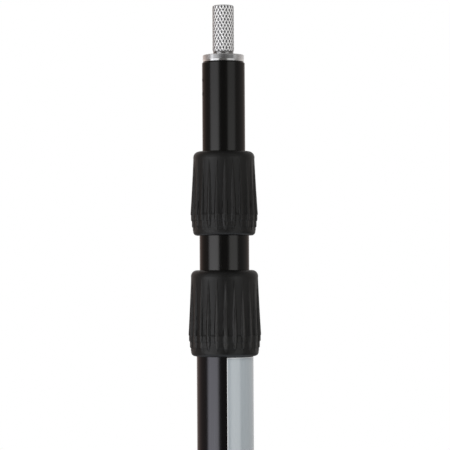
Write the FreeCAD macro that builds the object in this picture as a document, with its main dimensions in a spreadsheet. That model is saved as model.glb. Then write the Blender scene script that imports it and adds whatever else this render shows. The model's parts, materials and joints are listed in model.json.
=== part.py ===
import FreeCAD, Part

# Telescopic boom pole: three aluminium tubes, two twist-lock collars and a knurled tip stud.
# Millimetres. +Z runs along the pole from butt to tip, the origin is the centre of the butt's
# end face, -Y is the front and +X is to the right. The pole is collapsed and locked.
#
# Every turned piece is drawn as an outline of (radius, height) points above its own foot and
# is revolved about Z. Its Placement lifts the foot to its level on the pole. All sizes are
# expressions in the aliases of the sheet "Sizes".

import os
import re
import Sketcher

DRIVING_SIZES = {
    # tubes
    "outer_od": 25.0,
    "middle_od": 22.0,
    "inner_od": 19.0,
    "tube_wall": 1.0,
    "outer_length": 665.0,
    "middle_length": 696.0,
    "inner_length": 734.5,
    # fits, all radial or axial clearances
    "bonded_gap": 0.03,
    "running_gap": 0.06,
    "slip_gap": 0.1,
    # rubber plug in the butt, and the soft stops
    "plug_flange": 3.0,
    "plug_depth": 14.0,
    "plug_round": 1.2,
    "plug_bevel": 0.8,
    "pad_thick": 2.0,
    "vent_radius": 4.0,
    # end bush, guide ring and guide sleeve at a section's foot
    "bush_flange": 1.5,
    "bush_groove": 3.2,
    "bush_depth": 12.0,
    "bush_clearance": 0.3,
    "bush_bevel": 0.5,
    "groove_depth": 0.7,
    "ring_thick": 0.85,
    "sleeve_length": 60.0,
    "sleeve_gap": 0.1,
    "split_degrees": 8.0,
    # twist lock, heights above the collar's bottom edge
    "tube_end_height": 18.0,
    "ferrule_foot": 5.0,
    "ferrule_wall": 0.9,
    "ferrule_bevel": 0.3,
    "lip_height": 2.0,
    "seat_height": 6.0,
    "seat_foot_gap": 0.75,
    "seat_top_gap": 1.75,
    "collet_lift_off": 0.6,
    "collet_top": 30.0,
    "seat_clearance": 0.12,
    "slot_width": 1.0,
    "slot_top": 28.0,
    "slot_count": 6,
    "washer_thick": 1.0,
    "washer_gap": 0.2,
    "thread_gap": 1.0,
    "thread_top": 27.0,
    "chamber_gap": 1.85,
    "chamber_play": 0.05,
    "nut_foot": 2.0,
    "nut_wall": 0.6,
    "nut_bend": 12.0,
    "nut_mouth_gap": 0.4,
    "nut_top_wall": 2.6,
    "wiper_foot": 32.6,
    "wiper_groove": 2.0,
    "wiper_reach": 1.3,
    "wiper_lip": 0.5,
    # rubber grip sleeves
    "lower_height": 38.0,
    "lower_top_radius": 14.9,
    "lower_waist_radius": 15.35,
    "lower_skirt_radius": 15.85,
    "upper_height": 37.3,
    "upper_top_radius": 13.6,
    "upper_waist_radius": 14.2,
    "upper_skirt_radius": 14.65,
    "grip_mouth_gap": 0.6,
    "grip_foot_gap": 0.5,
    "grip_cap": 0.9,
    "skirt_height": 9.6,
    "terrace_step": 2.7,
    "terrace_inset": 0.4,
    "ledge_drop": 0.6,
    "grip_top_round": 2.6,
    "grip_foot_round": 1.8,
    "rib_count": 24,
    "rib_degrees": 1.75,
    "rib_radius": 1.1,
    "rib_height": 0.75,
    "rib_top_margin": 6.0,
    "rib_foot_margin": 2.4,
    # label
    "label_height": 120.0,
    "label_thick": 0.1,
    "label_margin": 0.3,
    "label_degrees": 180.0,
    "label_start_degrees": -86.0,
    # tip
    "disc_radius": 9.15,
    "disc_height": 3.3,
    "disc_bevel": 0.3,
    "insert_depth": 24.0,
    "tube_bevel": 0.35,
    "shank_radius": 4.0,
    "shank_length": 30.1,
    "neck_radius": 4.5,
    "neck_height": 1.8,
    "stud_radius": 4.7625,
    "stud_height": 20.2,
    "stud_bevel": 0.4,
    "washer_height": 0.8,
    "washer_radius": 6.6,
    "nut_flats": 13.0,
    "nut_height": 4.8,
    "rivet_radius": 0.8,
    "rivet_head_radius": 1.1,
    "rivet_head_height": 0.15,
    "rivet_length": 4.0,
    "rivet_drop": 7.9,
    "rivet_pitch": 6.2,
    "rivet_degrees": 14.0,
}

document = FreeCAD.newDocument("boom_pole")
sheet = document.addObject("Spreadsheet::Sheet", "Sizes")
for row, (alias, size) in enumerate(DRIVING_SIZES.items(), start=1):
    sheet.set("A%d" % row, alias)
    sheet.set("B%d" % row, str(size))
    sheet.setAlias("B%d" % row, alias)
document.recompute()

ORIGIN_POINT = (-1, 1)
VERTICAL_AXIS = -2
HORIZONTAL_AXIS = -1
SAME = 1e-6
NEAR = 1e-4


# Expressions ------------------------------------------------------------------------------

def bound(text):
    """Put the sheet's name before every alias of an expression."""
    def named(word):
        return "Sizes." + word.group() if word.group() in DRIVING_SIZES else word.group()
    return re.sub(r"[a-z][a-z_]+", named, text)


def value(text):
    """The number that an expression in aliases stands for now."""
    return float(sheet.evalExpression(bound(text)))


# Building blocks --------------------------------------------------------------------------

def new_body(name, foot="0"):
    """An empty body labelled with its node's name, its foot at the given level."""
    body = document.addObject("PartDesign::Body", name)
    body.Label = name
    body.setExpression("Placement.Base.z", bound(foot))
    return body


def new_sketch(body, name, plane="XZ_Plane"):
    """A sketch on one of the body's own origin planes."""
    sketch = body.newObject("Sketcher::SketchObject", name)
    base = [feature for feature in body.Origin.OriginFeatures if feature.Role == plane][0]
    sketch.AttachmentSupport = (base, [""])
    sketch.MapMode = "FlatFace"
    return sketch


def draw_outline(sketch, outline):
    """Draw a closed outline of (x, y) expression pairs, each corner tied to the sheet."""
    corners = [(value(across), value(up)) for across, up in outline]
    count = len(corners)
    for index, start in enumerate(corners):
        end = corners[(index + 1) % count]
        line = Part.LineSegment(FreeCAD.Vector(*start, 0), FreeCAD.Vector(*end, 0))
        sketch.addGeometry(line, False)
    for index in range(count):
        joined = Sketcher.Constraint("Coincident", index, 2, (index + 1) % count, 1)
        sketch.addConstraint(joined)
    for index, corner in enumerate(corners):
        place_corner(sketch, index, "DistanceX", corner[0], outline[index][0], VERTICAL_AXIS)
        place_corner(sketch, index, "DistanceY", corner[1], outline[index][1], HORIZONTAL_AXIS)


def place_corner(sketch, line, kind, distance, text, axis):
    """Hold a line's start on an axis, or at a distance from it that the sheet drives."""
    if abs(distance) < SAME:
        sketch.addConstraint(Sketcher.Constraint("PointOnObject", line, 1, axis))
        return
    held = sketch.addConstraint(Sketcher.Constraint(kind, *ORIGIN_POINT, line, 1, distance))
    sketch.setExpression("Constraints[%d]" % held, bound(text))


def turned(name, foot, outline, sweep="360"):
    """A body revolved about Z from its outline, through the whole turn or less."""
    body = new_body(name, foot)
    sketch = new_sketch(body, name + "_outline")
    draw_outline(sketch, outline)
    revolution = body.newObject("PartDesign::Revolution", name + "_turned")
    revolution.Profile = sketch
    revolution.ReferenceAxis = (sketch, ["V_Axis"])
    revolution.setExpression("Angle", bound(sweep))
    document.recompute()
    return body


def pipe_outline(inside, outside, length):
    """The outline of a plain ring or tube that stands on its foot."""
    return [(inside, "0"), (outside, "0"), (outside, length), (inside, length)]


def round_edges(body, edges):
    """Names of the body's circular edges at the given (radius, height) places."""
    found = []
    for radius, height in edges:
        for number, edge in enumerate(body.Tip.Shape.Edges, start=1):
            curve = edge.Curve
            if not isinstance(curve, Part.Circle):
                continue
            level = curve.Center.z
            if abs(curve.Radius - value(radius)) < NEAR and abs(level - value(height)) < NEAR:
                found.append("Edge%d" % number)
    if len(found) != len(edges):
        raise RuntimeError("%s: %d edges found of %d" % (body.Label, len(found), len(edges)))
    return found


def eased(body, kind, size, edges):
    """Fillet or chamfer the body's circular edges at the given (radius, height) places."""
    names = round_edges(body, edges)
    base = body.Tip
    feature = body.newObject("PartDesign::" + kind, "%s_%s" % (body.Name, kind.lower()))
    feature.Base = (base, names)
    feature.setExpression("Radius" if kind == "Fillet" else "Size", bound(size))
    body.Tip = feature
    document.recompute()


def cut_through(body, name, outline, width, plane="XZ_Plane"):
    """Cut the outline out of the body, half the width to each side of its plane."""
    before = body.Shape.Volume
    sketch = new_sketch(body, name + "_outline", plane)
    draw_outline(sketch, outline)
    pocket = body.newObject("PartDesign::Pocket", name)
    pocket.Profile = sketch
    pocket.Midplane = True
    pocket.setExpression("Length", bound(width))
    document.recompute()
    if body.Shape.Volume >= before:
        raise RuntimeError("%s cut nothing" % name)
    return pocket


def drill(body, name, radius, depth_from, height):
    """Drill a round hole along -X at a height, from a radius out through the wall."""
    before = body.Shape.Volume
    sketch = new_sketch(body, name + "_circle", "YZ_Plane")
    centre = FreeCAD.Vector(0, value(height), 0)
    sketch.addGeometry(Part.Circle(centre, FreeCAD.Vector(0, 0, 1), value(radius)), False)
    sketch.addConstraint(Sketcher.Constraint("PointOnObject", 0, 3, VERTICAL_AXIS))
    level = sketch.addConstraint(
        Sketcher.Constraint("DistanceY", *ORIGIN_POINT, 0, 3, value(height)))
    sketch.setExpression("Constraints[%d]" % level, bound(height))
    size = sketch.addConstraint(Sketcher.Constraint("Radius", 0, value(radius)))
    sketch.setExpression("Constraints[%d]" % size, bound(radius))
    sketch.setExpression("AttachmentOffset.Base.z", bound("-(%s)" % depth_from))
    hole = body.newObject("PartDesign::Pocket", name)
    hole.Profile = sketch
    hole.Type = "ThroughAll"
    document.recompute()
    if body.Shape.Volume >= before:
        hole.Reversed = True
        document.recompute()
    if body.Shape.Volume >= before:
        raise RuntimeError("%s cut nothing" % name)


def polar_copies(body, name, feature, count):
    """Repeat a feature evenly about the body's Z axis."""
    axis = [item for item in body.Origin.OriginFeatures if item.Role == "Z_Axis"][0]
    pattern = body.newObject("PartDesign::PolarPattern", name)
    pattern.Originals = [feature]
    pattern.Axis = (axis, [""])
    pattern.Angle = 360
    pattern.setExpression("Occurrences", bound(count))
    body.Tip = pattern
    document.recompute()


# Levels along the pole --------------------------------------------------------------------

OUTER_FOOT = "plug_flange"
OUTER_TOP = "plug_flange + outer_length"
PLUG_TOP = "plug_flange + plug_depth"
MIDDLE_BUSH_FOOT = PLUG_TOP + " + pad_thick + slip_gap"
BUSH_COLLAR = "(2 * bush_flange + bush_groove)"
MIDDLE_FOOT = MIDDLE_BUSH_FOOT + " + " + BUSH_COLLAR
MIDDLE_TOP = MIDDLE_FOOT + " + middle_length"
MIDDLE_PAD_FOOT = MIDDLE_FOOT + " + bush_depth"
INNER_BUSH_FOOT = MIDDLE_PAD_FOOT + " + pad_thick + slip_gap"
INNER_FOOT = INNER_BUSH_FOOT + " + " + BUSH_COLLAR
INNER_TOP = INNER_FOOT + " + inner_length"
LOWER_COLLAR_FOOT = OUTER_TOP + " - tube_end_height"
UPPER_COLLAR_FOOT = MIDDLE_TOP + " - tube_end_height"


# Parts that come in two sizes -------------------------------------------------------------

def build_bush(name, foot, tube, host):
    """End bush: two flanges round the guide ring's groove, and a plug in the tube's foot."""
    flange = "%s / 2 - tube_wall - bush_clearance" % host
    groove = "%s - groove_depth" % flange
    plug = "%s / 2 - tube_wall - bonded_gap" % tube
    top = BUSH_COLLAR + " + bush_depth"
    bush = turned(name, foot, [
        ("vent_radius", "0"),
        (flange, "0"),
        (flange, "bush_flange"),
        (groove, "bush_flange"),
        (groove, "bush_flange + bush_groove"),
        (flange, "bush_flange + bush_groove"),
        (flange, BUSH_COLLAR),
        (plug, BUSH_COLLAR),
        (plug, top),
        ("vent_radius", top),
    ])
    eased(bush, "Chamfer", "bush_bevel", [(flange, "0"), (plug, top)])


def build_guide_ring(name, foot, host):
    """Split ring in the bush's groove that bears on the bore of the tube outside."""
    outside = "%s / 2 - tube_wall - running_gap" % host
    inside = outside + " - ring_thick"
    level = foot + " + bush_flange + slip_gap"
    outline = pipe_outline(inside, outside, "bush_groove - 2 * slip_gap")
    turned(name, level, outline, "360 - split_degrees")


def build_guide_sleeve(name, foot, tube, host):
    """Split plastic liner bonded round the foot of a sliding tube."""
    inside = "%s / 2 + bonded_gap" % tube
    outside = "%s / 2 - tube_wall - sleeve_gap" % host
    outline = pipe_outline(inside, outside, "sleeve_length")
    turned(name, foot, outline, "360 - split_degrees")


def build_pad(name, foot, host):
    """Soft washer that the next section lands on."""
    outside = "%s / 2 - tube_wall - sleeve_gap" % host
    turned(name, foot, pipe_outline("vent_radius", outside, "pad_thick"))


def build_ferrule(name, collar_foot, wide, narrow):
    """Threaded ferrule bonded over a tube's end, with a lip and the collet's cone seat."""
    outside = "%s / 2 + ferrule_wall" % wide
    bore = "%s / 2 + bonded_gap" % wide
    tube_end = "tube_end_height - ferrule_foot"
    seat_foot = tube_end + " + lip_height"
    seat_top = seat_foot + " + seat_height"
    ferrule = turned(name, collar_foot + " + ferrule_foot", [
        (bore, "0"),
        (outside, "0"),
        (outside, seat_top),
        ("%s / 2 + seat_top_gap" % narrow, seat_top),
        ("%s / 2 + seat_foot_gap" % narrow, seat_foot),
        ("%s / 2 + slip_gap" % narrow, seat_foot),
        ("%s / 2 + slip_gap" % narrow, tube_end),
        (bore, tube_end),
    ])
    eased(ferrule, "Chamfer", "ferrule_bevel", [(outside, "0"), (outside, seat_top)])


def build_collet(name, collar_foot, narrow):
    """Slotted cone that closes on the sliding tube when it is pushed into its seat."""
    seat_foot = "tube_end_height + lip_height"
    start = seat_foot + " + collet_lift_off"
    widening = "(seat_top_gap - seat_foot_gap) / seat_height"
    foot_radius = "%s / 2 + seat_foot_gap + collet_lift_off * %s - seat_clearance" % (
        narrow, widening)
    top_radius = "%s / 2 + seat_top_gap - seat_clearance" % narrow
    bore = "%s / 2 + running_gap" % narrow
    tall = "collet_top - (%s)" % start
    collet = turned(name, collar_foot + " + " + start, [
        (bore, "0"),
        (foot_radius, "0"),
        (top_radius, "seat_height - collet_lift_off"),
        (top_radius, tall),
        (bore, tall),
    ])
    outside = top_radius + " + slot_width"
    inside = bore + " - slot_width"
    slot = cut_through(collet, name + "_slot", [
        (inside, "-slot_width"),
        (outside, "-slot_width"),
        (outside, "slot_top - (%s)" % start),
        (inside, "slot_top - (%s)" % start),
    ], "slot_width")
    polar_copies(collet, name + "_slots", slot, "slot_count")
    cut_through(collet, name + "_split", [
        (inside, "-slot_width"),
        (outside, "-slot_width"),
        (outside, tall + " + slot_width"),
        (inside, tall + " + slot_width"),
    ], "slot_width")


def build_thrust_washer(name, collar_foot, narrow):
    """Slip washer on the collet that the collar's shoulder pushes on as it turns."""
    outline = pipe_outline("%s / 2 + washer_gap" % narrow,
                           "%s / 2 + seat_top_gap - seat_clearance" % narrow,
                           "washer_thick")
    turned(name, collar_foot + " + collet_top", outline)


def build_nut(name, collar_foot, wide, narrow, height):
    """Threaded core of a collar: thread bore, collet chamber, shoulder and wiper groove."""
    thread = "%s / 2 + thread_gap" % wide
    chamber = "%s / 2 + chamber_gap" % narrow
    mouth = "%s / 2 + nut_mouth_gap" % narrow
    wiper = "%s / 2 + wiper_reach" % narrow
    outside = thread + " + nut_wall"
    top_outside = "%s / 2 + nut_top_wall" % narrow
    shoulder = "collet_top + washer_thick + chamber_play - nut_foot"
    top = height + " - grip_cap - nut_foot"
    turned(name, collar_foot + " + nut_foot", [
        (thread, "0"),
        (outside, "0"),
        (outside, "nut_bend - nut_foot"),
        (top_outside, top),
        (mouth, top),
        (mouth, "wiper_foot + wiper_groove - nut_foot"),
        (wiper, "wiper_foot + wiper_groove - nut_foot"),
        (wiper, "wiper_foot - nut_foot"),
        (mouth, "wiper_foot - nut_foot"),
        (mouth, shoulder),
        (chamber, shoulder),
        (chamber, "thread_top - nut_foot"),
        (thread, "thread_top - nut_foot"),
    ])


def build_wiper(name, collar_foot, narrow):
    """Ring in the collar's mouth whose lip runs on the sliding tube."""
    lip = "%s / 2 + running_gap" % narrow
    root = lip + " + wiper_lip"
    outside = "%s / 2 + wiper_reach - sleeve_gap" % narrow
    tall = "wiper_groove - 2 * sleeve_gap"
    turned(name, collar_foot + " + wiper_foot + sleeve_gap", [
        (root, "0"),
        (outside, "0"),
        (outside, tall),
        (lip, tall),
    ])


def build_grip_sleeve(name, collar_foot, wide, narrow, size):
    """Rubber sleeve over the nut: waist cone, ledge, three skirt terraces and raised ribs."""
    height = size + "_height"
    waist = size + "_waist_radius"
    top_radius = size + "_top_radius"
    skirt = size + "_skirt_radius"
    middle_terrace = skirt + " - terrace_inset"
    foot_terrace = skirt + " - 2 * terrace_inset"
    nut_outside = "%s / 2 + thread_gap + nut_wall + bonded_gap" % wide
    nut_top = "%s / 2 + nut_top_wall + bonded_gap" % narrow
    mouth = "%s / 2 + grip_mouth_gap" % narrow
    lip = "%s / 2 + grip_foot_gap" % wide
    sleeve = turned(name, collar_foot, [
        (lip, "0"),
        (foot_terrace, "0"),
        (foot_terrace, "skirt_height - 2 * terrace_step"),
        (middle_terrace, "skirt_height - 2 * terrace_step"),
        (middle_terrace, "skirt_height - terrace_step"),
        (skirt, "skirt_height - terrace_step"),
        (skirt, "skirt_height"),
        (waist, "skirt_height + ledge_drop"),
        (top_radius, height),
        (mouth, height),
        (mouth, height + " - grip_cap"),
        (nut_top, height + " - grip_cap"),
        (nut_outside, "nut_bend"),
        (nut_outside, "nut_foot"),
        (lip, "nut_foot"),
    ])
    eased(sleeve, "Fillet", "grip_top_round", [(top_radius, height)])
    eased(sleeve, "Fillet", "grip_foot_round", [(foot_terrace, "0")])
    add_ribs(sleeve, height, waist, top_radius)
    sleeve.setExpression("Placement.Rotation.Yaw", bound("rib_degrees - 90"))


def add_ribs(sleeve, height, waist, top_radius):
    """Raised leaves round a sleeve: half spindles, widest at the ledge, pointed at the ends."""
    sink = "(rib_radius - rib_height)"
    rib = [
        ("%s - rib_radius" % waist, "rib_foot_margin"),
        ("%s - %s + rib_radius" % (waist, sink), "skirt_height + ledge_drop"),
        ("%s - %s" % (top_radius, sink), "%s - rib_top_margin" % height),
    ]
    sketch = new_sketch(sleeve, sleeve.Name + "_rib_outline")
    draw_outline(sketch, rib)
    spindle = sleeve.newObject("PartDesign::Revolution", sleeve.Name + "_rib")
    spindle.Profile = sketch
    spindle.ReferenceAxis = (sketch, ["Edge3"])
    spindle.Angle = 180
    spindle.Midplane = True
    document.recompute()
    polar_copies(sleeve, sleeve.Name + "_ribs", spindle, "rib_count")


def build_lock(size, collar_foot, wide, narrow):
    """Everything in one twist lock, from the ferrule inside to the rubber outside."""
    height = size + "_height"
    build_ferrule(size + "_ferrule", collar_foot, wide, narrow)
    build_collet(size + "_collet", collar_foot, narrow)
    build_thrust_washer(size + "_thrust_washer", collar_foot, narrow)
    build_nut(size + "_collar_nut", collar_foot, wide, narrow, height)
    build_wiper(size + "_wiper_ring", collar_foot, narrow)
    build_grip_sleeve(size + "_grip_sleeve", collar_foot, wide, narrow, size)


# Outer section ----------------------------------------------------------------------------

def build_outer_tube():
    outline = pipe_outline("outer_od / 2 - tube_wall", "outer_od / 2", "outer_length")
    turned("outer_tube", OUTER_FOOT, outline)


def build_label():
    """Blank wrap label below the lower collar, from just right of the front round the side."""
    inside = "outer_od / 2 + bonded_gap"
    outline = pipe_outline(inside, inside + " + label_thick", "label_height")
    foot = LOWER_COLLAR_FOOT + " - label_margin - label_height"
    label = turned("tube_label", foot, outline, "label_degrees")
    label.setExpression("Placement.Rotation.Yaw", bound("label_start_degrees"))


def build_end_plug():
    """Rubber plug: a flange flush with the tube and a body inside it."""
    flange = "outer_od / 2"
    body_radius = "outer_od / 2 - tube_wall - bonded_gap"
    plug = turned("end_plug", "0", [
        ("0", "0"),
        (flange, "0"),
        (flange, "plug_flange"),
        (body_radius, "plug_flange"),
        (body_radius, PLUG_TOP),
        ("0", PLUG_TOP),
    ])
    eased(plug, "Fillet", "plug_round", [(flange, "0")])
    eased(plug, "Chamfer", "plug_bevel", [(body_radius, PLUG_TOP)])


# Inner section's tip ----------------------------------------------------------------------

def rivet_levels(top):
    """Heights of the two rivets below the tube's top, each as an expression."""
    return [top + " - rivet_drop", top + " - rivet_drop - rivet_pitch"]


def build_inner_tube():
    outline = pipe_outline("inner_od / 2 - tube_wall", "inner_od / 2", "inner_length")
    tube = turned("inner_tube", INNER_FOOT, outline)
    eased(tube, "Chamfer", "tube_bevel", [("inner_od / 2", "inner_length")])
    for number, level in enumerate(rivet_levels("inner_length"), start=1):
        drill(tube, "inner_tube_hole_%d" % number, "rivet_radius + bonded_gap", "0", level)
    tube.setExpression("Placement.Rotation.Yaw", bound("rivet_degrees"))


def build_tip_insert():
    """Plug bonded and riveted in the tube, with the polished disc on its top."""
    plug = "inner_od / 2 - tube_wall - bonded_gap"
    bore = "shank_radius + bonded_gap"
    top = "insert_depth + disc_height"
    insert = turned("tip_insert", INNER_TOP + " - insert_depth", [
        (bore, "0"),
        (plug, "0"),
        (plug, "insert_depth"),
        ("disc_radius", "insert_depth"),
        ("disc_radius", top),
        (bore, top),
    ])
    eased(insert, "Chamfer", "disc_bevel", [("disc_radius", "insert_depth"), ("disc_radius", top)])
    for number, level in enumerate(rivet_levels("insert_depth"), start=1):
        drill(insert, "tip_insert_hole_%d" % number, "rivet_radius + bonded_gap",
              "inner_od / 2 - rivet_length - bonded_gap", level)
    insert.setExpression("Placement.Rotation.Yaw", bound("rivet_degrees"))


def build_stud():
    """Stud with its plain neck above the disc and its shank down through the insert."""
    neck_foot = "shank_length + disc_height"
    stud_foot = neck_foot + " + neck_height"
    stud_top = stud_foot + " + stud_height"
    stud = turned("knurled_stud", INNER_TOP + " - shank_length", [
        ("0", "0"),
        ("shank_radius", "0"),
        ("shank_radius", neck_foot),
        ("neck_radius", neck_foot),
        ("neck_radius", stud_foot),
        ("stud_radius", stud_foot),
        ("stud_radius", stud_top),
        ("0", stud_top),
    ])
    eased(stud, "Chamfer", "stud_bevel", [("stud_radius", stud_top), ("shank_radius", "0")])


def build_stud_washer():
    """Split spring washer between the insert and the nut."""
    level = INNER_TOP + " - insert_depth - washer_height"
    outline = pipe_outline("shank_radius + slip_gap", "washer_radius", "washer_height")
    turned("stud_spring_washer", level, outline, "360 - split_degrees")


def build_stud_nut():
    """Hexagon nut on the stud's shank inside the tube."""
    level = INNER_TOP + " - insert_depth - washer_height - nut_height"
    nut = new_body("stud_lock_nut", level)
    sketch = new_sketch(nut, "stud_lock_nut_outline", "XY_Plane")
    half = "nut_flats / 2"
    side = "nut_flats / sqrt(3)"
    draw_outline(sketch, [
        (side, "0"),
        (side + " / 2", half),
        ("-(%s) / 2" % side, half),
        ("-(%s)" % side, "0"),
        ("-(%s) / 2" % side, "-(%s)" % half),
        (side + " / 2", "-(%s)" % half),
    ])
    hexagon = nut.newObject("PartDesign::Pad", "stud_lock_nut_pad")
    hexagon.Profile = sketch
    hexagon.setExpression("Length", bound("nut_height"))
    document.recompute()
    bore = new_sketch(nut, "stud_lock_nut_bore", "XY_Plane")
    circle = Part.Circle(FreeCAD.Vector(0, 0, 0), FreeCAD.Vector(0, 0, 1), value("shank_radius"))
    bore.addGeometry(circle, False)
    bore.addConstraint(Sketcher.Constraint("Coincident", 0, 3, *ORIGIN_POINT))
    size = bore.addConstraint(Sketcher.Constraint("Radius", 0, value("shank_radius")))
    bore.setExpression("Constraints[%d]" % size, bound("shank_radius + bonded_gap"))
    hole = nut.newObject("PartDesign::Pocket", "stud_lock_nut_hole")
    hole.Profile = bore
    hole.Type = "ThroughAll"
    hole.Reversed = True
    document.recompute()


def build_rivets():
    """Two flat-headed pins through the inner tube's left side into the insert, one node."""
    rivets = []
    for number, level in enumerate(rivet_levels(INNER_TOP), start=1):
        shank = document.addObject("Part::Cylinder", "rivet_shank_%d" % number)
        shank.setExpression("Radius", bound("rivet_radius"))
        shank.setExpression("Height", bound("rivet_length"))
        head = document.addObject("Part::Cone", "rivet_head_%d" % number)
        head.setExpression("Radius1", bound("rivet_head_radius"))
        head.setExpression("Radius2", bound("rivet_radius"))
        head.setExpression("Height", bound("rivet_head_height"))
        head.setExpression("Placement.Base.z", bound("rivet_length"))
        rivet = document.addObject("Part::Fuse", "rivet_%d" % number)
        rivet.Base = shank
        rivet.Tool = head
        rivet.Placement.Rotation = FreeCAD.Rotation(FreeCAD.Vector(0, 1, 0), -90)
        rivet.setExpression("Placement.Base.x", bound("rivet_length - inner_od / 2"))
        rivet.setExpression("Placement.Base.z", bound(level))
        rivets.append(rivet)
    pair = document.addObject("Part::Compound", "tip_rivets")
    pair.Label = "tip_rivets"
    pair.Links = rivets
    pair.setExpression("Placement.Rotation.Yaw", bound("rivet_degrees"))
    document.recompute()


# Assembly ---------------------------------------------------------------------------------

def build_pole():
    build_outer_tube()
    build_label()
    build_end_plug()
    build_pad("bump_pad", PLUG_TOP, "outer_od")
    build_lock("lower", LOWER_COLLAR_FOOT, "outer_od", "middle_od")

    middle_outline = pipe_outline("middle_od / 2 - tube_wall", "middle_od / 2", "middle_length")
    turned("middle_tube", MIDDLE_FOOT, middle_outline)
    build_bush("middle_bush", MIDDLE_BUSH_FOOT, "middle_od", "outer_od")
    build_guide_ring("middle_guide_ring", MIDDLE_BUSH_FOOT, "outer_od")
    build_guide_sleeve("middle_guide_sleeve", MIDDLE_FOOT, "middle_od", "outer_od")
    build_pad("middle_bump_pad", MIDDLE_PAD_FOOT, "middle_od")
    build_lock("upper", UPPER_COLLAR_FOOT, "middle_od", "inner_od")

    build_inner_tube()
    build_bush("inner_bush", INNER_BUSH_FOOT, "inner_od", "middle_od")
    build_guide_ring("inner_guide_ring", INNER_BUSH_FOOT, "middle_od")
    build_guide_sleeve("inner_guide_sleeve", INNER_FOOT, "inner_od", "middle_od")
    build_tip_insert()
    build_stud()
    build_stud_washer()
    build_stud_nut()
    build_rivets()


def check_document():
    """Stop if any object failed to recompute."""
    for item in document.Objects:
        if "Invalid" in item.State or "Error" in item.State:
            raise RuntimeError("%s is %s" % (item.Label, item.State))


def write_parts():
    """Write each sub-part's solid to its own file."""
    os.makedirs("parts", exist_ok=True)
    pieces = [item for item in document.Objects if item.TypeId == "PartDesign::Body"]
    pieces.append(document.getObject("tip_rivets"))
    for piece in pieces:
        if piece.Shape.isNull() or not piece.Shape.isValid():
            raise RuntimeError("%s has no valid shape" % piece.Label)
    for piece in pieces:
        piece.Shape.exportStep("parts/%s.step" % piece.Label)
        print("%-22s %8.1f mm3  z %.1f to %.1f" % (
            piece.Label, piece.Shape.Volume, piece.Shape.BoundBox.ZMin, piece.Shape.BoundBox.ZMax))


build_pole()
document.recompute()
check_document()
write_parts()
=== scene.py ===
import json
import math

import bmesh
import bpy
from mathutils import Matrix, Vector


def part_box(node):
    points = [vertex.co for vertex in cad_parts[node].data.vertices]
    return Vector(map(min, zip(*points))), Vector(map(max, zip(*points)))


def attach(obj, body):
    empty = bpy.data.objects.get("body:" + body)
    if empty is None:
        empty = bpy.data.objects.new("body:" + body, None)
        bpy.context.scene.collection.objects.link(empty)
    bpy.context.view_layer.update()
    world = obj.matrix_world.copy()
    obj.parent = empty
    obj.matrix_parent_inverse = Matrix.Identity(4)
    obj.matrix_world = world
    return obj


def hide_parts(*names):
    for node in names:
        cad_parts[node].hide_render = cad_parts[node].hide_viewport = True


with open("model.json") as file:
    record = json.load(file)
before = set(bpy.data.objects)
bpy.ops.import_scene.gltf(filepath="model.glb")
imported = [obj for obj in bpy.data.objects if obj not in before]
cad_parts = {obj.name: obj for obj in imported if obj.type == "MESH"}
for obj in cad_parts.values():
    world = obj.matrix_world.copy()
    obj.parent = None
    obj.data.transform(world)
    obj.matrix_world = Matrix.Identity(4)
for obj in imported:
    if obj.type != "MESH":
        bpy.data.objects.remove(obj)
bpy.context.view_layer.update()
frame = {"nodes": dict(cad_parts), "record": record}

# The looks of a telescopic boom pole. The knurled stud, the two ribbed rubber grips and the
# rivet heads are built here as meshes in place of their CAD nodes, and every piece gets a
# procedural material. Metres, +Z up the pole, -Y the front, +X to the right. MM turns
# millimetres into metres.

MM = 0.001
ARC_STEPS = 10


def middle(node):
    """The centre of a CAD node's box."""
    low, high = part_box(node)
    return (low + high) / 2


# Meshes turned about Z ----------------------------------------------------------------------

def finish_piece(bm, name, body, replaced, crease_degrees):
    """Make an object of the bmesh that rides on a body and stands for CAD nodes."""
    bmesh.ops.recalc_face_normals(bm, faces=bm.faces)
    mesh = bpy.data.meshes.new(name)
    bm.to_mesh(mesh)
    bm.free()
    for polygon in mesh.polygons:
        polygon.use_smooth = True
    mesh.set_sharp_from_angle(angle=math.radians(crease_degrees))
    piece = bpy.data.objects.new(name, mesh)
    bpy.context.collection.objects.link(piece)
    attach(piece, body)
    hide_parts(*replaced)
    return piece


def turned_rows(bm, rows, columns, start_degrees=0.0, looped=False):
    """Rings of vertices, one per row of the profile, joined by quads.

    A row is (radius, height), and its radius may be a function of the angle in radians. A looped
    profile joins its last row to its first, and any other gets a cap at both ends.
    """
    rings = []
    for radius, height in rows:
        ring = []
        for column in range(columns):
            angle = math.radians(start_degrees) + 2 * math.pi * column / columns
            reach = radius(angle) if callable(radius) else radius
            ring.append(bm.verts.new((reach * math.cos(angle), reach * math.sin(angle), height)))
        rings.append(ring)
    following_rings = rings[1:] + rings[:1] if looped else rings[1:]
    for ring, next_ring in zip(rings, following_rings):
        for column in range(columns):
            following = (column + 1) % columns
            bm.faces.new((ring[column], ring[following], next_ring[following], next_ring[column]))
    if not looped:
        bm.faces.new(rings[0])
        bm.faces.new(rings[-1])
    return rings


def arc_rows(centre_radius, centre_height, size, start, end):
    """Profile rows along an arc, its angles in degrees from outward to upward."""
    rows = []
    for step in range(ARC_STEPS + 1):
        angle = math.radians(start + (end - start) * step / ARC_STEPS)
        rows.append((centre_radius + size * math.cos(angle),
                     centre_height + size * math.sin(angle)))
    return rows


# Knurled stud -------------------------------------------------------------------------------

# The bevel leaves the knurl with a share of its mean slope and steepens from there.
STUD_BEVEL = 0.42 * MM
BEVEL_SLOPE = 0.35
BEVEL_STEPS = 4
STUD_CREASE_DEGREES = 60

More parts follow.
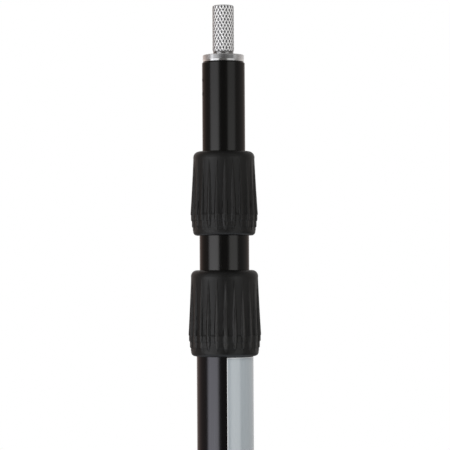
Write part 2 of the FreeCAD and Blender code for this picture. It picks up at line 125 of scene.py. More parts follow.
NECK_RADIUS = 4.5 * MM
NECK_HEIGHT = 1.6 * MM
NECK_ABOVE_DISC = 0.05 * MM
NECK_BELOW_KNURL = 0.15 * MM
SHANK_RADIUS = 0.88 * NECK_RADIUS
SHANK_END_RADIUS = 0.8 * NECK_RADIUS
SHANK_MIDDLE_RADIUS = 0.3 * NECK_RADIUS
SHANK_BELOW_DISC = 0.2 * MM

# Grooves each way round the stud, the height from one groove to the next above it, half a
# groove's width as a share of the pitch, and the mesh's cells from one groove to the next.
KNURL_STARTS = 20
KNURL_RISE = 2.77 * MM
KNURL_HALF_GROOVE = 0.25
KNURL_CELLS = 14
KNURL_DEPTH = 0.17 * MM
KNURL_LEAD_ROWS = 3
KNURL_BEVEL_FADE = 0.8

# The dished face from its rim inwards: the share of the face's radius, and how deep it lies.
STUD_FACE_INSET = 0.4 * KNURL_DEPTH
STUD_FACE = [(1.0, 0.0), (0.86, 0.02 * MM), (0.80, 0.12 * MM), (0.25, 0.12 * MM)]


def groove_depth(phase):
    """Depth of a V groove whose middle is at every whole number of the phase."""
    away = abs(phase - round(phase))
    return KNURL_DEPTH * max(0.0, 1.0 - away / KNURL_HALF_GROOVE)


def knurl_radius(outside, height, fade):
    """Radius at a height as a function of the angle: diamonds left by two crossing helices."""
    def radius(angle):
        turns = KNURL_STARTS * angle / (2 * math.pi)
        rise = height / KNURL_RISE
        return outside - fade * max(groove_depth(turns + rise), groove_depth(turns - rise))
    return radius


def knurl_rows(outside, foot, top):
    """The knurl's straight part, which grows out of the neck over its first rows."""
    rows = []
    count = int((top - foot) / (KNURL_RISE / KNURL_CELLS))
    for index in range(count + 1):
        height = foot + (top - foot) * index / count
        inward = STUD_BEVEL / 2 * max(0.0, 1.0 - index / KNURL_LEAD_ROWS)
        rows.append((knurl_radius(outside - inward, height - foot, 1.0), height))
    return rows


def bevel_rows(outside, foot, top):
    """The bevel above the knurl's top, where the grooves fade."""
    rows = []
    for index in range(1, BEVEL_STEPS + 1):
        share = index / BEVEL_STEPS
        height = top + STUD_BEVEL * share
        inset = outside - STUD_BEVEL * (BEVEL_SLOPE * share + (1 - BEVEL_SLOPE) * share * share)
        fade = 1.0 - KNURL_BEVEL_FADE * share
        rows.append((knurl_radius(inset, height - foot, fade), height))
    return rows


def build_stud():
    """The stud from its shank in the insert up through the neck to the knurled top."""
    low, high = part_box("knurled_stud")
    outside = (high.x - low.x) / 2
    disc_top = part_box("tip_insert")[1].z
    knurl_foot = disc_top + NECK_HEIGHT
    knurl_top = high.z - STUD_BEVEL
    rows = [
        (SHANK_MIDDLE_RADIUS, low.z),
        (SHANK_END_RADIUS, low.z),
        (SHANK_RADIUS, low.z + STUD_BEVEL),
        (SHANK_RADIUS, disc_top - SHANK_BELOW_DISC),
        (NECK_RADIUS, disc_top + NECK_ABOVE_DISC),
        (NECK_RADIUS, knurl_foot - NECK_BELOW_KNURL),
        (outside - KNURL_DEPTH, knurl_foot),
    ]
    rows += knurl_rows(outside, knurl_foot, knurl_top)
    rows += bevel_rows(outside, knurl_foot, knurl_top)
    face = outside - STUD_BEVEL - STUD_FACE_INSET
    rows += [(face * share, high.z - depth) for share, depth in STUD_FACE]
    bm = bmesh.new()
    turned_rows(bm, rows, KNURL_STARTS * KNURL_CELLS)
    return finish_piece(bm, "stud_knurl", "inner_section", ["knurled_stud"],
                        STUD_CREASE_DEGREES)


# Rivet heads --------------------------------------------------------------------------------

RIVET_HEAD_RADIUS = 1.1 * MM
RIVET_SHANK_RADIUS = 0.8 * MM
RIVET_HEAD_RISE = 0.15 * MM
RIVET_DOME_DEGREES = (5, 25, 50, 75)
RIVET_LENGTH = 4.0 * MM
RIVET_PITCH = 6.2 * MM
RIVET_TURN_DEGREES = 14.0
RIVET_SIDES = 24
RIVET_CREASE_DEGREES = 50


def build_rivets():
    """Two low domed pins through the inner tube, from its left a little towards the front."""
    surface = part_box("inner_tube")[1].x
    centre = middle("tip_rivets").z
    rows = [(RIVET_SHANK_RADIUS, -RIVET_LENGTH), (RIVET_SHANK_RADIUS, -RIVET_HEAD_RISE)]
    rows.append((RIVET_HEAD_RADIUS, -RIVET_HEAD_RISE))
    rows += [(RIVET_HEAD_RADIUS * math.cos(math.radians(angle)),
              RIVET_HEAD_RISE * math.sin(math.radians(angle))) for angle in RIVET_DOME_DEGREES]
    outward = Matrix.Rotation(math.radians(-90), 4, "Y")
    turned = Matrix.Rotation(math.radians(RIVET_TURN_DEGREES), 4, "Z")
    bm = bmesh.new()
    for level in (centre - RIVET_PITCH / 2, centre + RIVET_PITCH / 2):
        rings = turned_rows(bm, rows, RIVET_SIDES)
        place = turned @ Matrix.Translation((-surface, 0, level)) @ outward
        for ring in rings:
            bmesh.ops.transform(bm, matrix=place, verts=ring)
    return finish_piece(bm, "rivet_heads", "inner_section", ["tip_rivets"],
                        RIVET_CREASE_DEGREES)


# Rubber grips -------------------------------------------------------------------------------

# Heights are above a grip's foot. A rib is a leaf with its point near the top, widest at the
# shoulder and closing again at the rib's foot. The first rib is just right of the front.
RIB_COUNT = 24
RIB_START_DEGREES = 1.75 - 90.0
RIB_COLUMNS = 20
RIB_HALF_WIDTH = 1.12 * MM
RIB_POINT = 0.16
RIB_LEAF_POWER = 0.8
RIB_HEIGHT = 0.9 * MM
RIB_RISE_POWER = 0.8
RIB_CROWN_POWER = 0.7
RIB_FOOT = 2.3 * MM
RIB_FOOT_CURVE = 2.2
RIB_FOOT_POWER = 0.6
CREST_POWER = 1.2
WAIST_ROWS = 44

SHOULDER = 9.5 * MM
SHOULDER_INSET = 0.20 * MM
LEDGE = 0.12 * MM
LEDGE_DROP = 0.2 * MM

TERRACES = 3
TERRACE = 2.8 * MM
TERRACE_DROP = 0.4 * MM
TERRACE_STEPS = 8
TERRACE_LEAN_POWER = 12
TERRACE_RIB_INSET = 0.39 * MM
TERRACE_WALL_INSET = 0.19 * MM

FOOT_RIB = 0.14 * MM
FOOT_ROUND = 1.8 * MM
FOOT_START_DEGREES = -86
BORE_INSIDE_NUT = 1.0 * MM
BORE_DEPTH = 2.0 * MM
BORE_EDGE_INSIDE_NUT = 0.8 * MM
BORE_EDGE_HEIGHT = 0.3 * MM

# The step from the ribs' points to the smooth band: how far out, and how far up.
BAND_BELOW_TOP = 3.2 * MM
BAND_STEP = [(0.02 * MM, 0.1 * MM), (0.05 * MM, 0.4 * MM)]
TOP_ROUND = 2.7 * MM
TOP_SWELL = 0.04 * MM
MOUTH_GAP = 0.6 * MM
MOUTH_EDGE = 0.25 * MM
MOUTH_DEPTH = 0.9 * MM
GRIP_CREASE_DEGREES = 50

# Wear and a painted highlight pale a rib's crest. They begin at a share of a rib's relief, and a
# relief under the full one gets less of them.
WEAR_AND_HIGHLIGHT_EDGE = 0.55
WEAR_AND_HIGHLIGHT_RELIEF = 0.3 * MM

# A grip's pale rib crests are partly wear and partly a painted highlight, stronger on the lower
# grip.
GRIPS = {
    "lower_grip": {
        "node": "lower_grip_sleeve",
        "body": "lower_collar",
        "nut": "lower_collar_nut",
        "tube": "middle_tube",
        "crest_top": 14.86 * MM,
        "wear_and_highlight": 0.8,
    },
    "upper_grip": {
        "node": "upper_grip_sleeve",
        "body": "upper_collar",
        "nut": "upper_collar_nut",
        "tube": "inner_tube",
        "crest_top": 13.56 * MM,
        "wear_and_highlight": 0.2,
    },
}


def smooth(value):
    """Ease from 0 to 1 with level ends."""
    value = min(1.0, max(0.0, value))
    return value * value * (3 - 2 * value)


def rib_half_width(height, top):
    """Half the width of a leaf rib: a point near the top, widest at the shoulder."""
    if height >= SHOULDER:
        share = (top - height) / (top - SHOULDER)
        if share <= 0:
            return 0.0
        return RIB_HALF_WIDTH * (RIB_POINT + (1 - RIB_POINT) * smooth(share) ** RIB_LEAF_POWER)
    share = (SHOULDER - height) / (SHOULDER - RIB_FOOT)
    if share >= 1:
        return 0.0
    return RIB_HALF_WIDTH * (1 - share ** RIB_FOOT_CURVE) ** RIB_FOOT_POWER


def rib_relief(angle, radius, half_width, rise):
    """How far a rib stands out at an angle: a rounded crest with steep flanks."""
    if half_width <= 0 or rise <= 0:
        return 0.0
    pitch = 2 * math.pi / RIB_COUNT
    turn = angle - math.radians(RIB_START_DEGREES)
    away = abs(turn - pitch * round(turn / pitch)) * radius / half_width
    return rise * (1 - away * away) ** RIB_CROWN_POWER if away < 1 else 0.0


class GripProfile:
    """The rows of one sleeve's profile, from the bore in its foot round to its mouth."""

    def __init__(self, facts):
        low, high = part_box(facts["node"])
        self.tall = high.z - low.z
        self.leaf_top = self.tall - BAND_BELOW_TOP
        self.rise_top = self.tall - TOP_ROUND
        self.crest_top = facts["crest_top"]
        self.crest_shoulder = max(high.x, high.y)
        self.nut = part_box(facts["nut"])[1].x
        self.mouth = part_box(facts["tube"])[1].x + MOUTH_GAP
        terraces_inset = (TERRACES - 1) * TERRACE_RIB_INSET
        self.rib_foot = self.crest_shoulder - SHOULDER_INSET - terraces_inset
        self.wall_foot = self.rib_foot - FOOT_RIB

    def crest(self, height):
        """Radius of the ribs' crests at a height of the waist."""
        share = (self.rise_top - height) / (self.rise_top - SHOULDER)
        swell = self.crest_shoulder - self.crest_top
        return self.crest_top + swell * max(0.0, share) ** CREST_POWER

    def rib_rise(self, height):
        """How far the ribs stand out at a height of the waist."""
        share = (self.leaf_top - height) / (self.leaf_top - SHOULDER)
        return RIB_HEIGHT * max(0.0, share) ** RIB_RISE_POWER

    def ribbed(self, valley, height, rise):
        """A row with ribs that stand out of a valley's radius."""
        half_width = rib_half_width(height, self.leaf_top)

        def radius(angle):
            return valley + rib_relief(angle, valley, half_width, rise)
        return radius, height

    def foot_rows(self):
        """The bore over the nut, its edge and the rounded foot."""
        bore = self.nut - BORE_INSIDE_NUT
        rows = [(bore, BORE_DEPTH), (bore, BORE_EDGE_HEIGHT)]
        rows.append((self.nut - BORE_EDGE_INSIDE_NUT, 0.0))
        return rows + arc_rows(self.wall_foot - FOOT_ROUND, FOOT_ROUND, FOOT_ROUND,
                               FOOT_START_DEGREES, 0)

    def terrace_rows(self):
        """The skirt's terraces, each wider than the one below it, and the ledge over them."""
        rows = []
        for level in range(TERRACES):
            start = SHOULDER - TERRACE_DROP - (TERRACES - level) * TERRACE
            rib = self.rib_foot + level * TERRACE_RIB_INSET
            wall = self.wall_foot + level * TERRACE_WALL_INSET
            for step in range(1, TERRACE_STEPS + 1):
                share = step / TERRACE_STEPS
                height = start + TERRACE * share
                if height <= FOOT_ROUND:
                    continue
                lean = (1 - share) ** TERRACE_LEAN_POWER if level else 0.0
                inside = wall - TERRACE_WALL_INSET * lean
                outside = rib - TERRACE_RIB_INSET * lean
                rows.append(self.ribbed(inside, height, outside - inside))
        ledge = self.crest(SHOULDER) - RIB_HEIGHT + LEDGE
        rows.append(self.ribbed(ledge, SHOULDER - LEDGE_DROP, RIB_HEIGHT - LEDGE))
        return rows

    def waist_rows(self):
        """The ribbed waist from the shoulder up to the ribs' points."""
        rows = []
        for step in range(WAIST_ROWS + 1):
            height = SHOULDER + (self.leaf_top - SHOULDER) * step / WAIST_ROWS
            rise = self.rib_rise(height)
            rows.append(self.ribbed(self.crest(height) - rise, height, rise))
        return rows

    def top_rows(self):
        """The smooth band, the rounded top and the mouth about the tube."""
        band = self.crest(self.leaf_top)
        rows = [(band + out, self.leaf_top + up) for out, up in BAND_STEP]
        rows += arc_rows(self.crest_top + TOP_SWELL - TOP_ROUND, self.rise_top, TOP_ROUND, 0, 90)
        rows.append((self.mouth + MOUTH_EDGE, self.tall))
        rows.append((self.mouth, self.tall - MOUTH_EDGE))
        rows.append((self.mouth, self.tall - MOUTH_DEPTH))
        return rows

    def rows(self):
        """The whole profile."""
        return self.foot_rows() + self.terrace_rows() + self.waist_rows() + self.top_rows()


def mark_wear_and_highlight(ring, layer, wear_and_highlight):
    """Write how pale each vertex of a ring is, for wear and a painted highlight: the full amount at
    a rib's crest, nothing beside it.
    """
    reaches = [vertex.co.xy.length for vertex in ring]
    valley = min(reaches)
    full = max(max(reaches) - valley, WEAR_AND_HIGHLIGHT_RELIEF)
    for vertex, reach in zip(ring, reaches):
        share = (reach - valley) / full
        vertex[layer] = wear_and_highlight * max(0.0, share - WEAR_AND_HIGHLIGHT_EDGE) / (1 - WEAR_AND_HIGHLIGHT_EDGE)


def build_grip(name, facts):
    """One rubber sleeve, with its ribs' wear and painted highlights written on its vertices."""
    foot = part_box(facts["node"])[0].z
    rows = [(radius, foot + height) for radius, height in GripProfile(facts).rows()]
    bm = bmesh.new()
    wear_and_highlight_layer = bm.verts.layers.float.new("wear_and_highlight")
    columns = RIB_COUNT * RIB_COLUMNS
    for ring in turned_rows(bm, rows, columns, RIB_START_DEGREES, looped=True):
        mark_wear_and_highlight(ring, wear_and_highlight_layer, facts["wear_and_highlight"])
    return finish_piece(bm, name, facts["body"], [facts["node"]], GRIP_CREASE_DEGREES)


# Nodes --------------------------------------------------------------------------------------

# A colour Mix node has its own A and B, after those for numbers and vectors.
MIX_COLOUR_A = 6
MIX_COLOUR_B = 7
MIX_COLOUR_RESULT = 2


class Nodes:
    """Short ways to add nodes to a tree. A value is a number, a colour or another's socket."""

    def __init__(self, tree):
        self.tree = tree

    def feed(self, socket, value):
        """Link an input from a socket, or set it to a plain value."""
        if isinstance(value, bpy.types.NodeSocket):
            self.tree.links.new(value, socket)
        else:
            socket.default_value = value

    def add(self, kind, inputs=None, **settings):
        """A node with its settings and its inputs."""
        node = self.tree.nodes.new(kind)
        for setting, value in settings.items():
            setattr(node, setting, value)
        for socket, value in (inputs or {}).items():
            self.feed(node.inputs[socket], value)
        return node

    def spread(self, factor, low, high, start=0.3, end=0.7, interpolation="LINEAR"):
        """A factor's range, by default the middle of a noise's, mapped to two values."""
        made = self.add("ShaderNodeMapRange", {
            "Value": factor, "From Min": start, "From Max": end, "To Min": low, "To Max": high},
            interpolation_type=interpolation)
        return made.outputs["Result"]

    def mix(self, factor, first, second):
        """Two colours mixed by a factor."""
        made = self.add("ShaderNodeMix", {"Factor": factor}, data_type="RGBA")
        for socket, colour in ((MIX_COLOUR_A, first), (MIX_COLOUR_B, second)):
            plain = isinstance(colour, tuple)
            self.feed(made.inputs[socket], (*colour, 1) if plain else colour)
        return made.outputs[MIX_COLOUR_RESULT]

    def ramp(self, factor, stops):
        """A colour ramp's node, with its stops of position, colour and alpha."""
        made = self.add("ShaderNodeValToRGB", {"Fac": factor})
        elements = made.color_ramp.elements
        while len(elements) < len(stops):
            elements.new(0.5)
        for element, (position, colour) in zip(elements, stops):
            element.position = position
        for element, (position, colour) in zip(elements, stops):
            element.color = colour
        return made

    def math(self, operation, first, second=0.0):
        """One step of arithmetic."""
        made = self.add("ShaderNodeMath", {0: first, 1: second}, operation=operation)
        return made.outputs[0]

    def scaled(self, colour, factor):
        """A colour times a factor."""
        made = self.add("ShaderNodeVectorMath", {0: colour, "Scale": factor}, operation="SCALE")
        return made.outputs["Vector"]


class Shader(Nodes):
    """A material with its Principled shader, its patterns laid out in object space."""

    def __init__(self, name, colour, roughness, metallic=0.0, ior=1.5):
        self.material = bpy.data.materials.new(name)
        self.material.use_nodes = True
        super().__init__(self.material.node_tree)
        self.surface = self.tree.nodes["Principled BSDF"]
        self.surface.inputs["Base Color"].default_value = (*colour, 1)
        self.surface.inputs["Roughness"].default_value = roughness
        self.surface.inputs["Metallic"].default_value = metallic
        self.surface.inputs["IOR"].default_value = ior
        self.place = self.add("ShaderNodeTexCoord").outputs["Object"]

    def noise(self, scale, detail=4.0):
        """Noise whose scale is per metre along X, Y and Z."""
        mapped = self.add("ShaderNodeMapping", {"Vector": self.place, "Scale": scale})
        made = self.add("ShaderNodeTexNoise", {
            "Vector": mapped.outputs["Vector"], "Scale": 1.0, "Detail": detail})
        return made.outputs["Fac"]

    def colour(self, socket):
        """Take the surface's colour from a socket."""
        self.feed(self.surface.inputs["Base Color"], socket)

    def roughness(self, socket):
        """Take the surface's roughness from a socket."""
        self.feed(self.surface.inputs["Roughness"], socket)

    def metallic(self, socket):
        """Take how metallic the surface is from a socket."""
        self.feed(self.surface.inputs["Metallic"], socket)

    def bump(self, height, strength, distance):
        """Raise the surface by a factor, the distance in metres."""
        made = self.add("ShaderNodeBump", {
            "Height": height, "Strength": strength, "Distance": distance})
        self.feed(self.surface.inputs["Normal"], made.outputs["Normal"])


# Materials ----------------------------------------------------------------------------------

# The near-white of painted highlights, on the disc's top edge and on the flanks of the knurl's
# grooves.
PAINTED_HIGHLIGHT = (0.97, 0.97, 0.97)

DISC_RIM = 1.1 * MM
DISC_RIM_BLEND = 0.1 * MM
DISC_EDGE = 0.35 * MM
DISC_EDGE_ROUGHNESS = 0.6
# The disc's painted reflection across the pole: the share of its width from the left, and the
# brightness painted there.
DISC_PAINTED_REFLECTION = [(0.00, 0.88), (0.14, 0.86), (0.18, 0.64), (0.23, 0.80), (0.27, 0.42), (0.32, 0.38),
              (0.45, 0.46), (0.55, 0.40), (0.61, 0.25), (0.72, 0.25), (0.79, 0.92), (1.00, 0.97)]

# Painted shade: the knurl's diamonds are painted dark grey. The stud outside the knurl, and the
# neck above all, is painted a darker grey for the shadow where it meets the disc.
PAINTED_DIAMOND_SHADE = (0.17, 0.17, 0.18)
DIAMOND_SCUFF = 1.3
PAINTED_NECK_SHADE = (0.32, 0.32, 0.32)

# The label's first side lies this far round from the right (+X), where -90 is the front.
LABEL_START_DEGREES = -86.0
LABEL_EDGE = 0.35 * MM


def tinted(colour, factor):
    """A plain colour times a factor, no part of it over 1."""
    return tuple(min(1.0, part * factor) for part in colour)


def anodised():
    """Satin black anodised tube with faint drawing lines, the outer tube a little bluer."""
    shader = Shader("black_anodised", (0.042, 0.042, 0.042), 0.2, 1.0)
    shader.surface.inputs["Specular Tint"].default_value = (0.68, 0.645, 0.63, 1)
    lines = shader.noise((2400, 2400, 14), 3.0)
    cloud = shader.noise((60, 60, 22), 3.0)
    black = shader.mix(cloud, (0.040, 0.0395, 0.039), (0.045, 0.0445, 0.044))
    flat = shader.add("ShaderNodeVectorMath", {0: shader.place, 1: (1, 1, 0)},
                      operation="MULTIPLY")
    reach = shader.add("ShaderNodeVectorMath", {0: flat.outputs["Vector"]}, operation="LENGTH")
    between = (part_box("middle_tube")[1].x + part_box("outer_tube")[1].x) / 2
    outer = shader.math("GREATER_THAN", reach.outputs["Value"], between)
    shader.colour(shader.mix(outer, black, (0.050, 0.0495, 0.0545)))
    shader.roughness(shader.spread(lines, 0.17, 0.24))
    shader.bump(lines, 0.12, 0.01 * MM)
    return shader.material


def rubber():
    """Dark moulded rubber with a dull gloss, dusted by handling, and paler on the ribs' crests,
    partly for wear and partly as a painted highlight.
    """
    shader = Shader("black_rubber", (0.006, 0.006, 0.006), 0.48, ior=1.47)
    dust = shader.noise((170, 170, 60), 5.0)
    grain = shader.noise((5200, 5200, 5200), 2.0)
    tone = shader.spread(dust, 0.0, 1.0, start=0.35, end=0.68)
    clean = shader.mix(tone, (0.0022, 0.0022, 0.0021), (0.0062, 0.0060, 0.0057))
    # Paler rib crests: partly wear, partly a painted highlight.
    crest = shader.add("ShaderNodeAttribute", attribute_name="wear_and_highlight").outputs["Fac"]
    scuffs = shader.spread(shader.noise((420, 420, 60)), 0.1, 1.0, start=0.40, end=0.62)
    worn_and_highlit = shader.math("MULTIPLY", crest, scuffs)
    shader.colour(shader.mix(worn_and_highlit, clean, (0.038, 0.0375, 0.037)))
    shader.roughness(shader.spread(dust, 0.42, 0.54))
    shader.bump(grain, 0.2, 0.02 * MM)
    return shader.material


def polished_disc():
    """Turned metal with faint rings, and painted reflections: bright at its sides and lower rim,
    dark between.
    """
    shader = Shader("polished_disc", (0.64, 0.65, 0.67), 0.33, 1.0)
    rings = shader.noise((40, 40, 9000), 2.0)
    smear = shader.noise((220, 220, 400), 3.0)
    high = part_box("tip_insert")[1]
    rim_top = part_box("inner_tube")[1].z + DISC_RIM
    split = shader.add("ShaderNodeSeparateXYZ", {"Vector": shader.place})
    level = split.outputs["Z"]
    dull = shader.spread(level, 0.0, 1.0, start=rim_top, end=rim_top + DISC_RIM_BLEND)
    edge = shader.math("GREATER_THAN", level, high.z - DISC_EDGE)
    across = shader.spread(split.outputs["X"], 0.0, 1.0, start=-high.x, end=high.x)
    # Painted reflection: the colour across the disc copies the soft boxes' bright bands and the
    # dark front between them.
    stops = [(share, (value, value, value, 1)) for share, value in DISC_PAINTED_REFLECTION]
    painted_reflection = shader.ramp(across, stops).outputs["Color"]
    metal = shader.mix(smear, (0.92, 0.93, 0.95), (1.0, 1.0, 1.0))
    face = shader.scaled(metal, painted_reflection)
    # The lower rim takes a brighter copy of the painted reflection, a painted reflection of the
    # light below.
    rim = shader.scaled(metal, shader.spread(painted_reflection, 0.74, 0.97, start=0.46, end=0.85))
    # A painted highlight along the disc's top edge.
    shader.colour(shader.mix(edge, shader.mix(dull, rim, face), PAINTED_HIGHLIGHT))
    gloss = shader.spread(dull, 0.20, 0.38, start=0.0, end=1.0)
    matte = shader.math("MULTIPLY", edge, DISC_EDGE_ROUGHNESS)
    shader.roughness(shader.math("MAXIMUM", gloss, matte))
    shader.bump(rings, 0.10, 0.02 * MM)
    return shader.material


def plated_stud():
    """Bright plating with painted light: painted shade on the knurl's diamonds and on the neck, and
    painted highlights on the flanks of its grooves.
    """
    shader = Shader("plated_stud", PAINTED_DIAMOND_SHADE, 0.25, 1.0)
    split = shader.add("ShaderNodeSeparateXYZ", {"Vector": shader.place})
    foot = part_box("tip_insert")[1].z + NECK_HEIGHT
    knurl_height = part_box("knurled_stud")[1].z - STUD_BEVEL / 2 - foot
    turn = shader.math("ARCTAN2", split.outputs["Y"], split.outputs["X"])
    turns = shader.math("MULTIPLY", turn, KNURL_STARTS / (2 * math.pi))
    above = shader.math("SUBTRACT", split.outputs["Z"], foot)
    rise = shader.math("DIVIDE", above, KNURL_RISE)
    nearest = 1.0
    for crossing in ("ADD", "SUBTRACT"):
        phase = shader.math(crossing, turns, rise)
        nearest = shader.math("MINIMUM", shader.math("PINGPONG", phase, 0.5), nearest)
    groove = shader.spread(nearest, 1.0, 0.0,
                           start=0.4 * KNURL_HALF_GROOVE, end=0.9 * KNURL_HALF_GROOVE)
    over_foot = shader.math("GREATER_THAN", above, 0.0)
    over_top = shader.math("GREATER_THAN", above, knurl_height)
    knurled = shader.math("SUBTRACT", over_foot, over_top)
    flank = shader.math("MULTIPLY", groove, knurled)
    scuffs = shader.noise((1500, 1500, 1500))
    # Painted shade on the diamonds, with random scuffs, and on the stud outside the knurl. Painted
    # highlights on the grooves' flanks.
    diamonds = shader.mix(scuffs, PAINTED_DIAMOND_SHADE, tinted(PAINTED_DIAMOND_SHADE, DIAMOND_SCUFF))
    plain = shader.mix(knurled, PAINTED_NECK_SHADE, diamonds)
    shader.colour(shader.mix(flank, plain, PAINTED_HIGHLIGHT))
    shader.roughness(shader.spread(flank, 0.25, 0.18, start=0.0, end=1.0))
    shader.metallic(shader.spread(flank, 1.0, 0.4, start=0.0, end=1.0))
    return shader.material


def silver_label():
    """Satin silver-grey film with painted highlights along its top, its foot and its first side."""
    low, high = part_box("tube_label")
    shader = Shader("silver_label", (0.56, 0.64, 0.67), 0.18, ior=1.8)
    streaks = shader.noise((1500, 1500, 24), 3.0)
    film = shader.mix(streaks, (0.418, 0.470, 0.502), (0.465, 0.515, 0.549))
    split = shader.add("ShaderNodeSeparateXYZ", {"Vector": shader.place})
    top = shader.math("GREATER_THAN", split.outputs["Z"], high.z - LABEL_EDGE)
    foot = shader.math("LESS_THAN", split.outputs["Z"], low.z + LABEL_EDGE)
    turn = shader.math("ARCTAN2", split.outputs["Y"], split.outputs["X"])
    side_end = math.radians(LABEL_START_DEGREES) + LABEL_EDGE / high.x
    side = shader.math("LESS_THAN", turn, side_end)
    edges = shader.math("ADD", shader.math("ADD", top, foot), side)
    # Painted highlights: a pale band along the film's top, its foot and its first side.
    shader.colour(shader.mix(shader.math("MINIMUM", edges, 1.0), film, (0.80, 0.83, 0.85)))
    shader.roughness(shader.spread(streaks, 0.15, 0.21))
    return shader.material


def turned_metal(name, colour, roughness):
    """Bare or plated turned metal with fine rings."""
    shader = Shader(name, colour, roughness, 1.0)
    rings = shader.noise((60, 60, 6000), 3.0)
    shader.colour(shader.mix(rings, colour, tinted(colour, 1.15)))
    shader.roughness(shader.spread(rings, roughness * 0.8, roughness * 1.2))
    shader.bump(rings, 0.15, 0.02 * MM)
    return shader.material


def moulded(name, colour, roughness):
    """Moulded plastic with slight cloudiness and a fine skin."""
    shader = Shader(name, colour, roughness, ior=1.48)
    cloud = shader.noise((120, 120, 120), 3.0)
    skin = shader.noise((3000, 3000, 3000), 2.0)
    shader.colour(shader.mix(cloud, tinted(colour, 0.9), colour))
    shader.roughness(shader.spread(cloud, roughness * 0.9, roughness * 1.1))
    shader.bump(skin, 0.15, 0.02 * MM)
    return shader.material


def fibrous(name, colour, grain):
    """Felt or foam: rough, mottled and fully matte."""
    shader = Shader(name, colour, 0.95)
    fibres = shader.noise((grain, grain, grain), 6.0)
    shader.colour(shader.mix(fibres, colour, tinted(colour, 1.6)))
    shader.bump(fibres, 0.6, 0.1 * MM)
    return shader.material


def dress(piece, material):
    """Set a piece's only material."""
    piece.data.materials.clear()
    piece.data.materials.append(material)


def dress_frame():
    """Give every CAD node the material of its slot in the record, and return the materials."""
    looks = {
        "black_anodised": anodised(),
        "black_rubber": rubber(),
        "polished_disc": polished_disc(),
        "plated_stud": plated_stud(),
        "silver_label": silver_label(),
        "bare_aluminium": turned_metal("bare_aluminium", (0.58, 0.58, 0.60), 0.35),
        "plated_steel": turned_metal("plated_steel", (0.55, 0.55, 0.53), 0.3),
        "blackened_pin": turned_metal("blackened_pin", (0.05, 0.045, 0.042), 0.4),
        "white_acetal": moulded("white_acetal", (0.75, 0.75, 0.72), 0.4),
        "black_acetal": moulded("black_acetal", (0.02, 0.02, 0.02), 0.4),
        "soft_pad": fibrous("soft_pad", (0.03, 0.03, 0.03), 900),
        "wiper_felt": fibrous("wiper_felt", (0.035, 0.035, 0.035), 2500),
    }
    for subpart in frame["record"]["subparts"]:
        dress(frame["nodes"][subpart["node"]], looks[subpart["material_slot"]])
    return looks


# Studio -------------------------------------------------------------------------------------

WHITE = (1, 1, 1, 1)

# Radiance round the horizon, degrees from the front (-Y) towards the right (+X), and the
# share of it that fades with height: all of a soft box's light, none of a wall's.
STUDIO_BANDS = [
    (-180, (0.90, 0.88, 0.87), 0),
    (-136, (0.72, 0.59, 0.54), 0),
    (-112, (0.33, 0.28, 0.255), 0),
    (-79, (0.17, 0.15, 0.14), 0),
    (-72, (1.80, 1.80, 1.84), 1),
    (-40, (1.80, 1.80, 1.84), 1),
    (-28, (1.60, 1.60, 1.60), 1),
    (-24, (0.12, 0.115, 0.11), 0),
    (21, (0.12, 0.115, 0.11), 0),
    (24, (1.00, 1.00, 0.98), 1),
    (61, (1.00, 1.00, 0.99), 1),
    (66, (0.22, 0.21, 0.20), 0),
    (90, (0.27, 0.26, 0.25), 0),
    (124, (0.54, 0.51, 0.49), 0),
    (180, (0.90, 0.88, 0.87), 0),
]
# The ramp holds the radiance divided by this, so that no stop is over 1.
BAND_SCALE = 3.0

# What a direction's height changes, from -1 straight down to 1 straight up. A soft box's light is
# multiplied by e to the power of FADE_POWER times the height, which is held within FADE_HEIGHTS.
# Walls and boxes darken to LOW_SHARE down across LOW_HEIGHTS, and the ceiling and the light from
# underfoot take their place across their own heights.
FADE_POWER = -5.8
FADE_HEIGHTS = (-0.12, 0.15)
LOW_HEIGHTS = (-0.30, -0.10)
LOW_SHARE = 0.35
CEILING_HEIGHTS = (0.55, 0.85)
CEILING_TONE = (0.13, 0.13, 0.13)
UNDERFOOT_HEIGHTS = (-0.85, -0.55)
UNDERFOOT_TONE = (0.85, 0.90, 0.97)

FLOOR_RADIUS = 6.0
FLOOR_SIDES = 96
FLOOR_TONE = (0.86, 0.86, 0.86)
FLOOR_GLOW = 0.42

LAMP_POWER = 1.2
LAMP_SIZE = 0.25
LAMP_PLACE = (0.10, -0.45, 1.00)


def studio_walls(nodes, split):
    """The bands of wall and soft box round the horizon, with their light by height."""
    height = split.outputs["Z"]
    forward = nodes.math("MULTIPLY", split.outputs["Y"], -1.0)
    turn = nodes.math("ARCTAN2", split.outputs["X"], forward)
    share = nodes.spread(turn, 0.0, 1.0, start=-math.pi, end=math.pi)
    stops = [((degrees + 180) / 360, (*[part / BAND_SCALE for part in radiance], fading))
             for degrees, radiance, fading in STUDIO_BANDS]
    bands = nodes.ramp(share, stops)
    fade_start, fade_end = FADE_HEIGHTS
    power = nodes.spread(height, fade_start * FADE_POWER, fade_end * FADE_POWER,
                         start=fade_start, end=fade_end)
    fading = nodes.add("ShaderNodeMix", {
        "Factor": bands.outputs["Alpha"], "A": 1.0, "B": nodes.math("EXPONENT", power)},
        data_type="FLOAT")
    low_start, low_end = LOW_HEIGHTS
    gain = nodes.spread(height, LOW_SHARE * BAND_SCALE, BAND_SCALE,
                        start=low_start, end=low_end, interpolation="SMOOTHSTEP")
    bright = nodes.math("MULTIPLY", fading.outputs["Result"], gain)
    return nodes.scaled(bands.outputs["Color"], bright)


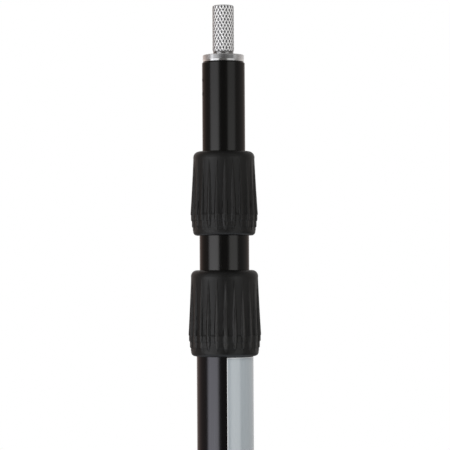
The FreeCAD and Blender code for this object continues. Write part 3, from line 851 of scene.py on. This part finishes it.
def build_world():
    """A white surround for the camera, and a studio with two tall soft boxes for all else."""
    world = bpy.data.worlds.new("studio")
    bpy.context.scene.world = world
    world.use_nodes = True
    world.node_tree.nodes.clear()
    nodes = Nodes(world.node_tree)
    way = nodes.add("ShaderNodeTexCoord").outputs["Generated"]
    split = nodes.add("ShaderNodeSeparateXYZ", {"Vector": way})
    height = split.outputs["Z"]
    ceiling_start, ceiling_end = CEILING_HEIGHTS
    ceiling = nodes.spread(height, 0.0, 1.0,
                           start=ceiling_start, end=ceiling_end, interpolation="SMOOTHSTEP")
    room = nodes.mix(ceiling, studio_walls(nodes, split), CEILING_TONE)
    underfoot_start, underfoot_end = UNDERFOOT_HEIGHTS
    underfoot = nodes.spread(height, 1.0, 0.0,
                             start=underfoot_start, end=underfoot_end, interpolation="SMOOTHSTEP")
    all_round = nodes.mix(underfoot, room, UNDERFOOT_TONE)
    lit = nodes.add("ShaderNodeBackground", {"Color": all_round, "Strength": 1.0})
    seen = nodes.add("ShaderNodeBackground", {"Color": WHITE, "Strength": 1.0})
    ray = nodes.add("ShaderNodeLightPath")
    both = nodes.add("ShaderNodeMixShader", {
        0: ray.outputs["Is Camera Ray"], 1: lit.outputs[0], 2: seen.outputs[0]})
    nodes.add("ShaderNodeOutputWorld", {"Surface": both.outputs[0]})


def build_floor():
    """A plain pale round floor under the pole, paler towards its rim so that it meets the white."""
    bm = bmesh.new()
    bmesh.ops.create_circle(bm, cap_ends=True, segments=FLOOR_SIDES, radius=FLOOR_RADIUS)
    mesh = bpy.data.meshes.new("floor")
    bm.to_mesh(mesh)
    bm.free()
    floor = bpy.data.objects.new("floor", mesh)
    bpy.context.collection.objects.link(floor)
    shader = Shader("floor", FLOOR_TONE, 0.8)
    away = shader.add("ShaderNodeVectorMath", {0: shader.place}, operation="LENGTH")
    glow = shader.spread(away.outputs["Value"], FLOOR_GLOW, 1.0,
                         start=FLOOR_RADIUS / 4, end=FLOOR_RADIUS)
    shader.feed(shader.surface.inputs["Emission Color"], WHITE)
    shader.feed(shader.surface.inputs["Emission Strength"], glow)
    dress(floor, shader.material)
    floor.visible_glossy = False


def build_light():
    """A soft lamp near the tip that only brightens matte surfaces, so no gloss shows it."""
    lamp = bpy.data.lights.new("key", "AREA")
    lamp.energy = LAMP_POWER
    lamp.size = LAMP_SIZE
    holder = bpy.data.objects.new("key", lamp)
    bpy.context.collection.objects.link(holder)
    holder.location = LAMP_PLACE
    aim = Vector((0, 0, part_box("knurled_stud")[1].z)) - holder.location
    holder.rotation_euler = aim.to_track_quat("-Z", "Y").to_euler()
    holder.visible_camera = False
    holder.visible_glossy = False


# Camera -------------------------------------------------------------------------------------

# Metres in front of the pole's axis, above the frame's origin and to the right of the axis.
CAMERA_AWAY = 0.929
CAMERA_LEVEL = 0.6934
CAMERA_ASIDE = 0.00033
CAMERA_REACH = (0.05, 50.0)
# Degrees up from level, and about the line of sight.
CAMERA_TILT = 0.90
CAMERA_ROLL = -0.32
LENS = 167.6


def build_camera():
    """A long lens level with the tube between the grips, looking a little up."""
    lens = bpy.data.cameras.new("camera")
    lens.lens = LENS
    lens.clip_start, lens.clip_end = CAMERA_REACH
    camera = bpy.data.objects.new("camera", lens)
    bpy.context.collection.objects.link(camera)
    look = Matrix.Rotation(math.radians(90 + CAMERA_TILT), 4, "X")
    roll = Matrix.Rotation(math.radians(CAMERA_ROLL), 4, "Z")
    place = Matrix.Translation((CAMERA_ASIDE, -CAMERA_AWAY, CAMERA_LEVEL))
    camera.matrix_world = place @ look @ roll
    bpy.context.scene.camera = camera


# Making everything --------------------------------------------------------------------------

def main():
    """Dress the frame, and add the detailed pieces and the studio."""
    looks = dress_frame()
    dress(build_stud(), looks["plated_stud"])
    dress(build_rivets(), looks["blackened_pin"])
    for name, facts in GRIPS.items():
        dress(build_grip(name, facts), looks["black_rubber"])
    build_world()
    build_floor()
    build_light()
    build_camera()
    bpy.context.scene.view_settings.view_transform = "Standard"


main()
